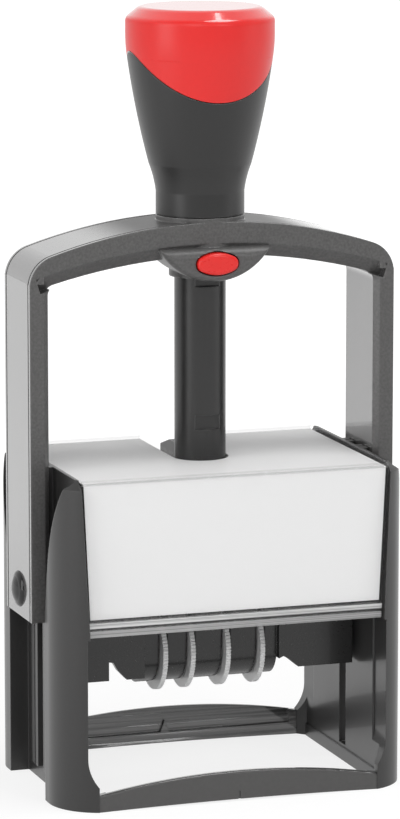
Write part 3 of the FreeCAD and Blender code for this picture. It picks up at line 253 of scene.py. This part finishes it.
def bar_with_painted_streaks(name):
    """Polished black plastic with the long shallow waves that a filled thin wall shows, and pale
    streaks painted into its colour along them as reflections.
    """
    material, surface, place = start_material(name)
    waves = clouds(stretched(place, WAVE_STRETCH), WAVES_PER_METRE)
    soft, rim = soft_edges(place, EDGE_ROUND)
    plug(
        surface,
        # The pale streaks in the colour are painted reflections, laid along the waves.
        Base_Color=waves.step(0.42, 0.62).mix(grey(0.03), grey(0.15)),
        Roughness=0.14 + waves * 0.1,
        Normal=waves.node("Bump", Strength=1.0, Distance=WAVE_HEIGHT, Height=waves, Normal=soft),
        Coat_Weight=0.9 - rim * 0.3,
        Coat_Roughness=0.05,
        Coat_IOR=1.75,
    )
    return material


front_plastic = moulded("front_bar_plastic", grey(0.072), roughness=0.36, polish=not_in_front)
finish_node("front_bar", front_plastic)
finish_node("back_bar", bar_with_painted_streaks("back_bar_painted_streaks"))


# Top deck and guide tube: the deck ties the side frames together, and four steel screws
# hold the tube's flange down on it. Both are black plastic, and the tube is a little
# glossier, because the yoke's sleeve rubs it.

DRAWN_PER_METRE = 2500.0
GRAIN_STRETCH = (1.0, 1.0, 0.1)


def bright_steel(name, level, roughness):
    """Steel with a faint drawing grain that runs up and down."""
    material, surface, place = start_material(name)
    drawn = clouds(stretched(place, GRAIN_STRETCH), DRAWN_PER_METRE)
    plug(
        surface,
        Base_Color=drawn.mix(grey(level * 0.85), grey(level * 1.1)),
        Metallic=1.0,
        Roughness=roughness + (drawn - 0.5) * 0.1,
    )
    return material


deck_plastic = moulded("deck_plastic", grey(0.03), roughness=0.4)
finish_node("top_deck", deck_plastic)
tube_plastic = moulded("tube_plastic", grey(0.017), roughness=0.32, relief=0.000006)
finish_node("guide_tube", tube_plastic)
finish_node("deck_screws", bright_steel("screw_steel", level=0.55, roughness=0.28))


# Main spring and its seat: round steel wire wound thirteen turns. It stands in the tube and
# pushes up on a plastic seat in the handle, and it shortens as the yoke goes down.

MERGE_WITHIN = 0.000001
SHARP_EDGE = math.radians(35)


def own_copy(node_name, piece_name, slack=0.0):
    """A piece made from a carried-over node: corners merged, drawn in by the slack, shaded anew."""
    mesh = bmesh.new()
    mesh.from_mesh(nodes[node_name].data)
    bmesh.ops.remove_doubles(mesh, verts=mesh.verts, dist=MERGE_WITHIN)
    bmesh.ops.recalc_face_normals(mesh, faces=mesh.faces)
    mesh.normal_update()
    drawn_in = [vert.co - vert.normal * vert.calc_shell_factor() * slack for vert in mesh.verts]
    for vert, place in zip(mesh.verts, drawn_in):
        vert.co = place
    data = bpy.data.meshes.new(piece_name)
    mesh.to_mesh(data)
    mesh.free()
    data.attributes.remove(data.attributes["custom_normal"])
    data.shade_smooth()
    data.set_sharp_from_angle(angle=SHARP_EDGE)
    piece = bpy.data.objects.new(piece_name, data)
    bpy.context.scene.collection.objects.link(piece)
    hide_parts(node_name)
    return piece


spring_steel = bright_steel("spring_steel", level=0.5, roughness=0.3)
main_coil = own_copy("main_spring", "main_coil")
main_coil.data.materials.append(spring_steel)
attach(main_coil, "base")
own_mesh(main_coil)
finish_node("spring_seat", deck_plastic)


# Index card: thin white card, bent once and held under the cover's front and top. It is cut
# a little smaller than the space it lies in, so that no face of it lies in the cover's.

CARD_SLACK = 0.00006


def card_white(name):
    """Matt white card with a fine paper fibre."""
    material, surface, place = start_material(name)
    fibre = clouds(place, per_metre=1800.0, detail=4.0, rough=0.7)
    plug(
        surface,
        Base_Color=fibre.mix(pure(0.86), pure(0.89)),
        Roughness=0.6 + (fibre - 0.5) * 0.1,
        Normal=fibre.node("Bump", Strength=0.3, Distance=0.000004, Height=fibre),
    )
    return material


card_sheet = own_copy("index_card", "card_sheet", CARD_SLACK)
card_sheet.data.materials.append(card_white("card_white"))
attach(card_sheet, "base")


# Clear cover: bent styrene sheet, polished both sides. Its cut edges carry painted shade and its
# creases a painted grey, and its lower lip is grooved so that it can be pulled off, with painted
# dark lines at the grooves and pale streaks painted along it as reflections.

LIP_HEIGHT = 0.0038
LIP_LINE = 0.00028
LIP_FADE = 0.0001
LIP_STREAKS = (6.0, 1.0, 2400.0)

cover_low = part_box("clear_cover")[0]
lip_top = cover_low.z + LIP_HEIGHT
lip_middle = cover_low.z + LIP_HEIGHT / 2


def groove_shade_line(height, level):
    """1 along a thin line at one level, 0 above and below it: where a groove's shade is painted."""
    return 1.0 - abs(height - level).step(LIP_LINE, LIP_LINE + LIP_FADE)


def clear_sheet(name):
    """Clear styrene: seen through, with painted shade along each edge, a painted grey along each
    crease, and painted dark groove lines and pale painted reflections along the lip.
    """
    material, surface, place = start_material(name)
    haze = clouds(place, per_metre=70.0)
    soft, rim = soft_edges(place, EDGE_ROUND)
    height = place.part("Z")
    # The bends are painted grey through the alpha, as shade.
    crease_shade = (abs(facing(place, "Y")) * abs(facing(place, "Z"))).step(0.08, 0.4)
    lip = 1.0 - height.step(lip_top, lip_top + LIP_FADE)
    upper = height.step(lip_middle - LIP_FADE, lip_middle + LIP_FADE)
    # Thin dark lines painted at the lip's grooves, as shade.
    groove_shade = groove_shade_line(height, lip_top) + groove_shade_line(height, lip_middle)
    # Pale streaks painted along the lip, as reflections.
    painted_streaks = clouds(stretched(place, LIP_STREAKS), per_metre=1.0).step(0.30, 0.60)
    bright = painted_streaks * lip * (0.40 + upper * 0.60) * (1.0 - groove_shade)
    # The cut edges and the lip's groove lines are painted dark here, as shade.
    painted_shade = (rim * 0.6 + groove_shade * lip).smaller(1.0)
    plug(
        surface,
        Base_Color=(painted_shade * (1.0 - bright)).mix(bright.mix(pure(0.30), pure(0.90)), pure(0.06)),
        Roughness=0.06 + haze * 0.03,
        Alpha=0.02 + rim * 0.30 + crease_shade * 0.20 + lip * 0.55 + bright * 0.12,
        IOR=1.5,
        Normal=soft,
    )
    return material


finish_node("clear_cover", clear_sheet("clear_sheet"))


# Yoke: the arch, its two arms, the button's boss and the collar in one moulding. Its front
# has a fine spark-eroded grain, and its outer band and its arms' sides are polished.

BOSS_HALF = 0.0165
BAND_FADE = 0.016


def band_and_arms(place):
    """1 on the faces that look sideways or up, clear of the boss and the collar."""
    sideways = abs(facing(place, "X")).step(0.6, 0.9)
    upwards = facing(place, "Z").step(0.2, 0.5)
    clear = abs(place.part("X")).step(BOSS_HALF, BOSS_HALF + BAND_FADE)
    return sideways.larger(upwards) * clear


yoke_plastic = moulded("yoke_plastic", grey(0.085), roughness=0.40, grain=1500.0,
                       relief=0.000016, edge=0.0006, spread=0.35, polish=band_and_arms)
finish_node("yoke_frame", yoke_plastic)


# Handle and cap: a hollow grip in satin black plastic that stands on the yoke's collar, and
# a red cap pushed on over the saddle at its top. The palm has rubbed the crown smooth.

CAP_RED = (0.77, 0.014, 0.012, 1.0)


def looks_up(place):
    """1 on the crown, and less the more a face leans."""
    return facing(place, "Z").step(0.3, 0.9)


handle_plastic = moulded("handle_plastic", grey(0.013), roughness=0.36, grain=1300.0,
                         relief=0.000008)
finish_node("handle_body", handle_plastic)
cap_plastic = moulded("cap_plastic", CAP_RED, roughness=0.36, grain=900.0, relief=0.000002,
                      edge=0.0003, spread=0.02, polish=looks_up)
finish_node("handle_cap", cap_plastic)


# Lock button: an oval head, a stem and a pawl in one moulding of glossy red plastic. It sits
# in the yoke's boss, and a bowed steel leaf behind the head holds it out.

BUTTON_RED = (0.76, 0.015, 0.012, 1.0)

button_plastic = moulded("button_plastic", BUTTON_RED, roughness=0.28, relief=0.000002,
                         spread=0.02)
finish_node("lock_button", button_plastic)
button_leaf = own_copy("button_spring", "button_leaf")
button_leaf.data.materials.append(spring_steel)
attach(button_leaf, "yoke")
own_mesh(button_leaf)


# Axle pins: polished black pins with domed heads. They are pushed in from outside, through
# the arms and the slots in the side frames, and the date unit turns on them.

pin_plastic = moulded("pin_plastic", grey(0.006), roughness=0.12, relief=0.000001,
                      edge=0.0002)
for side in ("right", "left"):
    finish_node(f"{side}_axle_pin", pin_plastic)


# Date unit: a frame in polished black plastic with a carrier plate, the bridge that backs
# the bands and the wheels' steel axle. The plate holder snaps to the carrier plate, and its
# text plate is red rubber.

RUBBER_RED = (0.26, 0.045, 0.04, 1.0)

unit_plastic = moulded("unit_plastic", grey(0.008), roughness=0.28, relief=0.000003,
                       coat=0.15)
for piece in ("unit_frame", "carrier_plate", "band_bridge"):
    finish_node(piece, unit_plastic)
finish_node("wheel_axle", spring_steel)
finish_node("plate_holder", moulded("holder_plastic", grey(0.16), roughness=0.45))
plate_rubber = moulded("plate_rubber", RUBBER_RED, roughness=0.62, grain=1600.0)
finish_node("text_plate", plate_rubber)


# Thumbwheels and date bands: pale nylon wheels with knurled rims, each moulded with the
# drum that drives its band. The bands are black rubber.


def nylon(name):
    """Milky nylon: it passes a little light, so its shade is soft."""
    material, surface, place = start_material(name)
    milky = clouds(place, per_metre=160.0)
    plug(
        surface,
        Base_Color=milky.mix(pure(0.78), pure(0.86)),
        Roughness=0.32 + (milky - 0.5) * 0.1,
        Subsurface_Weight=0.2,
        Subsurface_Radius=(0.001, 0.001, 0.001),
        Subsurface_Scale=1.0,
    )
    return material


wheel_nylon = nylon("wheel_nylon")
band_rubber = moulded("band_rubber", grey(0.04), roughness=0.6, grain=1600.0)
for number in range(1, 5):
    finish_node(f"thumbwheel_{number}", wheel_nylon)
    finish_node(f"date_band_{number}", band_rubber)


# Ink pad and its tray: a black tray that slides on the side frames' runners, and a block of
# felt pressed into it from below, soaked with blue-black ink.

FELT_ROUND = 0.0008
INK_DEEP = (0.012, 0.014, 0.05, 1.0)
INK_POOLED = (0.025, 0.03, 0.09, 1.0)

finish_node("pad_tray", moulded("tray_plastic", grey(0.03), roughness=0.42))


def inked_felt(name):
    """Wet felt: glossier and bluer where the ink pools, with standing fibres."""
    material, surface, place = start_material(name)
    fibres = clouds(place, per_metre=2600.0, detail=5.0, rough=0.7)
    pools = clouds(place, per_metre=90.0)
    plug(
        surface,
        Base_Color=pools.mix(INK_DEEP, INK_POOLED),
        Roughness=0.75 - pools * 0.2,
        Sheen_Weight=0.3,
        Normal=fibres.node("Bump", Strength=1.0, Distance=0.00012, Height=fibres),
    )
    return material


def make_felt():
    """A felt block with softly rounded edges, as large as the pad's solid."""
    low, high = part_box("ink_pad")
    mesh = bmesh.new()
    bmesh.ops.create_cube(mesh, size=1.0)
    bmesh.ops.scale(mesh, vec=high - low, verts=mesh.verts)
    bmesh.ops.translate(mesh, vec=(low + high) / 2, verts=mesh.verts)
    bmesh.ops.bevel(mesh, geom=mesh.edges[:], offset=FELT_ROUND, segments=3, profile=0.5,
                    affect="EDGES", material=-1)
    data = bpy.data.meshes.new("felt_pad")
    mesh.to_mesh(data)
    mesh.free()
    data.shade_smooth()
    data.materials.append(inked_felt("inked_felt"))
    felt = bpy.data.objects.new("felt_pad", data)
    bpy.context.scene.collection.objects.link(felt)
    return felt


felt_pad = make_felt()
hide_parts("ink_pad")
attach(felt_pad, "pad_drawer")


# Room for the picture: a pale floor that runs out to white, soft lamps and the camera.
# The camera, mirrors and clear plastic see the white; the object is lit at a plain level.

FLOOR_REACH = 3.0
FADE_START = 0.10
FADE_END = 0.40
NEAR_WHITE = 0.80
ROOM_LEVEL = 0.43
GLOSS_IN_FRONT = 0.30
GLOSS_BEHIND = 1.0


def sees_white(start):
    """Two masks: rays straight from the camera, and rays turned by gloss or clear plastic."""
    camera_ray = start.node("LightPath", output="Is Camera Ray")
    glossy_ray = start.node("LightPath", output="Is Glossy Ray")
    through_ray = start.node("LightPath", output="Is Transmission Ray")
    return camera_ray, glossy_ray.larger(through_ray)


def make_floor():
    """A flat floor that keeps the shadow and runs out to white away from the object."""
    mesh = bmesh.new()
    bmesh.ops.create_grid(mesh, x_segments=1, y_segments=1, size=FLOOR_REACH)
    data = bpy.data.meshes.new("floor")
    mesh.to_mesh(data)
    mesh.free()
    floor = bpy.data.objects.new("floor", data)
    bpy.context.scene.collection.objects.link(floor)
    material, surface, place = start_material("pale_floor")
    camera_ray, mirrored_ray = sees_white(place)
    shown = camera_ray.larger(mirrored_ray)
    reach = place.node("VectorMath", {"operation": "LENGTH"}, output="Value", i0=place)
    whiteness = NEAR_WHITE + reach.step(FADE_START, FADE_END) * (1.0 - NEAR_WHITE)
    plug(
        surface,
        Base_Color=shown.mix(pure(0.9), pure(0.24)),
        Roughness=0.85,
        Specular_IOR_Level=0.0,
        Emission_Color=(shown * whiteness).mix(pure(0.0), pure(1.0)),
        Emission_Strength=1.0,
    )
    data.materials.append(material)


make_floor()


def make_world(level, front_gloss, back_gloss):
    """White to the camera, a plain level of light, and a studio dimmer towards the camera."""
    world = bpy.data.worlds.new("studio")
    bpy.context.scene.world = world
    world.use_nodes = True
    start = Shade(world.node_tree, None)
    camera_ray, mirrored_ray = sees_white(start)
    backwards = start.node("TexCoord", output="Generated").part("Y").step(-0.5, 0.5)
    room = backwards * (back_gloss - front_gloss) + front_gloss
    strength = level + camera_ray * (1.0 - level) + mirrored_ray * (room - level)
    plug(world.node_tree.nodes["Background"], Color=pure(1.0), Strength=strength)


make_world(ROOM_LEVEL, GLOSS_IN_FRONT, GLOSS_BEHIND)

MIDDLE = Vector((0.0, 0.0, 0.09))


def add_lamp(name, place, width, height, power):
    """A soft rectangular lamp, turned to the middle of the object."""
    data = bpy.data.lights.new(name, "AREA")
    data.shape = "RECTANGLE"
    data.size = width
    data.size_y = height
    data.energy = power
    lamp = bpy.data.objects.new(name, data)
    bpy.context.scene.collection.objects.link(lamp)
    lamp.location = place
    lamp.rotation_euler = (MIDDLE - Vector(place)).to_track_quat("-Z", "Y").to_euler()


add_lamp("left_softbox", (-0.75, -0.25, 0.30), width=0.35, height=0.70, power=2.0)
add_lamp("right_softbox", (0.80, -0.35, 0.30), width=0.35, height=0.70, power=0.5)
add_lamp("top_softbox", (0.20, -0.15, 0.85), width=0.36, height=0.30, power=2.3)
add_lamp("front_softbox", (-0.55, -1.05, 0.75), width=0.60, height=0.60, power=3.0)
add_lamp("front_spot", (0.37, -1.10, 0.62), width=0.22, height=0.22, power=1.6)

CAMERA_REACH = 1.11306
CAMERA_TURN = math.radians(18.49)
CAMERA_PITCH = math.radians(9.98)
CAMERA_LENS = 199.81
CAMERA_SENSOR = 36.0
AIM = Vector((0.0, 0.0, 0.0911))

back = Vector((
    -math.sin(CAMERA_TURN) * math.cos(CAMERA_PITCH),
    -math.cos(CAMERA_TURN) * math.cos(CAMERA_PITCH),
    math.sin(CAMERA_PITCH),
))
camera_data = bpy.data.cameras.new("camera")
camera_data.sensor_width = CAMERA_SENSOR
camera_data.lens = CAMERA_LENS
camera = bpy.data.objects.new("camera", camera_data)
bpy.context.scene.collection.objects.link(camera)
camera.location = AIM + back * CAMERA_REACH
camera.rotation_euler = (-back).to_track_quat("-Z", "Y").to_euler()
bpy.context.scene.camera = camera
bpy.context.scene.view_settings.view_transform = "Standard"
